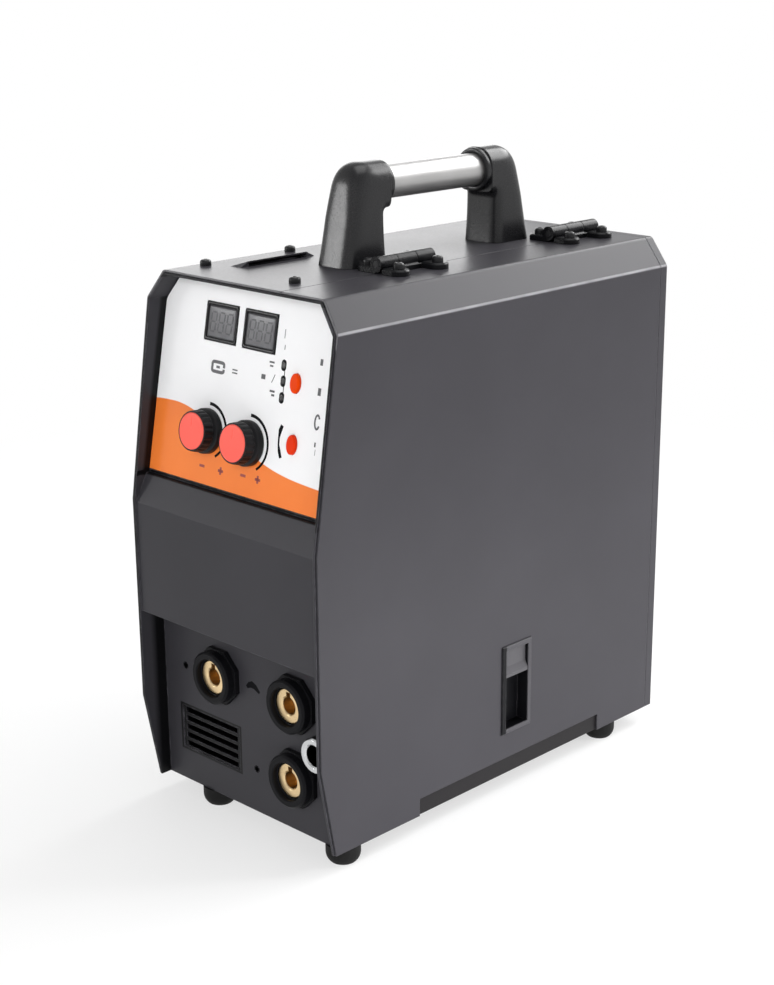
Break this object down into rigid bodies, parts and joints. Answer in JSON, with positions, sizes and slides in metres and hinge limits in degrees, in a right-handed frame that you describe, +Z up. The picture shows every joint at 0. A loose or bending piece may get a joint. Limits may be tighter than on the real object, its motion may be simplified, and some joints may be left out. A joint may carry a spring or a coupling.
{
  "type": "mig welder",
  "caption": "Portable inverter MIG welder: bent sheet casing with a side door over a wire feeder, leaning control console, lead sockets and a carrying handle on top.",
  "frame": {"origin": "middle of the outer box, on the floor under the feet", "axes": "+Z up, -Y towards the front with the console, +X towards the side door"},
  "size_m": [0.2015, 0.409, 0.4855],
  "materials": {
    "casing_paint": "satin dark grey powder coat",
    "pan_paint": "dark powder coat",
    "front_plastic": "moulded, fine grain",
    "divider_zinc": "zinc plated sheet",
    "overlay_print": "printed film, white with an orange band",
    "window": "smoked window",
    "light_pipe": "clear light pipe, unlit",
    "circuit_board": "coated circuit board",
    "socket_plastic": "black insulating plastic",
    "contact_brass": "turned brass",
    "outlet_plate": "bright plating",
    "handle_plastic": "black moulding",
    "handle_aluminium": "brushed tube",
    "fastener_steel": "blackened steel",
    "hinge_black": "gloss black",
    "pin_steel": "bright steel",
    "latch_black": "black moulding",
    "latch_grey": "dark grey moulding",
    "foot_rubber": "black rubber",
    "fan_plastic": "black moulding",
    "rocker_plastic": "black moulding",
    "valve_metal": "plain valve body with a dark coil",
    "feeder_cast": "cast and machined",
    "motor_steel": "grey paint",
    "hub_plastic": "black moulding",
    "sink_aluminium": "extruded",
    "transformer_core": "ferrite core with a taped winding",
    "knob_black": "black moulding",
    "knob_cap_red": "salmon red",
    "button_orange": "red-orange"
  },
  "bodies": {
    "casing": {"cover_shell": "casing_paint", "rear_panel": "casing_paint", "base_pan": "pan_paint", "front_panel": "front_plastic", "divider_plate": "divider_zinc", "control_overlay": "overlay_print", "display_windows": "window", "indicator_lights": "light_pipe", "control_board": "circuit_board", "main_board": "circuit_board", "socket_left": "socket_plastic", "socket_upper": "socket_plastic", "socket_lower": "socket_plastic", "contact_left": "contact_brass", "contact_upper": "contact_brass", "contact_lower": "contact_brass", "inlet_guide": "contact_brass", "gas_inlet": "contact_brass", "torch_outlet": "outlet_plate", "handle_front_post": "handle_plastic", "handle_rear_post": "handle_plastic", "handle_tube": "handle_aluminium", "handle_bolts": "fastener_steel", "cover_screws": "fastener_steel", "hinge_front_fixed_leaf": "hinge_black", "hinge_rear_fixed_leaf": "hinge_black", "hinge_pins": "pin_steel", "spool_spindle": "pin_steel", "rubber_feet": "foot_rubber", "fan_frame": "fan_plastic", "cable_gland": "fan_plastic", "mains_switch": "fan_plastic", "gas_valve": "valve_metal", "feeder_plate": "feeder_cast", "gear_motor": "motor_steel", "spool_nut": "hub_plastic", "heat_sinks": "sink_aluminium", "transformer": "transformer_core"},
    "door": {"feed_door": "casing_paint", "hinge_front_door_leaf": "hinge_black", "hinge_rear_door_leaf": "hinge_black", "door_screws": "fastener_steel", "latch_frame": "latch_black"},
    "latch": {"latch_slide": "latch_grey"},
    "left_knob": {"knob_left": "knob_black", "knob_cap_left": "knob_cap_red"},
    "right_knob": {"knob_right": "knob_black", "knob_cap_right": "knob_cap_red"},
    "select_key": {"select_button": "button_orange"},
    "check_key": {"check_button": "button_orange"},
    "rocker": {"mains_rocker": "rocker_plastic"},
    "fan": {"fan_rotor": "fan_plastic"},
    "hub": {"spool_hub": "hub_plastic"},
    "drive": {"drive_shaft": "pin_steel", "drive_roll": "pin_steel"},
    "arm": {"pressure_arm": "feeder_cast"},
    "idler": {"pressure_roll": "pin_steel"},
    "tensioner": {"tension_rod": "pin_steel"},
    "tension_grip": {"tension_knob": "hub_plastic"}
  },
  "joints": [
    {"name": "door_swing", "type": "hinge", "parent": "casing", "child": "door", "pos_m": [0.042, 0, 0.4186], "axis": [0, -1, 0], "range_deg": [0, 100]},
    {"name": "latch_bolt", "type": "slide", "parent": "door", "child": "latch", "axis": [0, 0, -1], "range_m": [0, 0.007]},
    {"name": "left_knob_turn", "type": "hinge", "parent": "casing", "child": "left_knob", "pos_m": [-0.0352, -0.18132, 0.30152], "axis": [0, -0.9826, 0.1857], "range_deg": [-150, 150]},
    {"name": "right_knob_turn", "type": "hinge", "parent": "casing", "child": "right_knob", "pos_m": [0.0092, -0.18147, 0.30073], "axis": [0, -0.9826, 0.1857], "range_deg": [-150, 150]},
    {"name": "select_press", "type": "slide", "parent": "casing", "child": "select_key", "axis": [0, 0.9826, -0.1857], "range_m": [0, 0.001], "stiffness_N_per_m": 600, "springref_m": -0.001},
    {"name": "check_press", "type": "slide", "parent": "casing", "child": "check_key", "axis": [0, 0.9826, -0.1857], "range_m": [0, 0.001], "stiffness_N_per_m": 600, "springref_m": -0.001},
    {"name": "rocker_tip", "type": "hinge", "parent": "casing", "child": "rocker", "pos_m": [-0.046, 0.178, 0.334], "axis": [1, 0, 0], "range_deg": [0, 16]},
    {"name": "fan_spin", "type": "hinge", "parent": "casing", "child": "fan", "pos_m": [-0.046, 0.1655, 0.204], "axis": [0, 1, 0], "continuous": true},
    {"name": "hub_spin", "type": "hinge", "parent": "casing", "child": "hub", "pos_m": [0.04, 0.0455, 0.289], "axis": [1, 0, 0], "continuous": true},
    {"name": "drive_spin", "type": "hinge", "parent": "casing", "child": "drive", "pos_m": [0.0785, -0.0825, 0.0709], "axis": [1, 0, 0], "continuous": true},
    {"name": "arm_lift", "type": "hinge", "parent": "casing", "child": "arm", "pos_m": [0.0642, -0.1125, 0.116], "axis": [1, 0, 0], "range_deg": [0, 75]},
    {"name": "idler_spin", "type": "hinge", "parent": "arm", "child": "idler", "pos_m": [0.0785, -0.0825, 0.0995], "axis": [1, 0, 0], "continuous": true},
    {"name": "tension_swing", "type": "hinge", "parent": "casing", "child": "tensioner", "pos_m": [0.0642, -0.0485, 0.062], "axis": [1, 0, 0], "range_deg": [0, 58]},
    {"name": "tension_turn", "type": "hinge", "parent": "tensioner", "child": "tension_grip", "pos_m": [0.0642, -0.0485, 0.062], "axis": [0, 0.848, 0.5299], "range_deg": [0, 720]}
  ],
  "couplings": [
    {"joint": "idler_spin", "follows": "drive_spin", "ratio": -1}
  ]
}
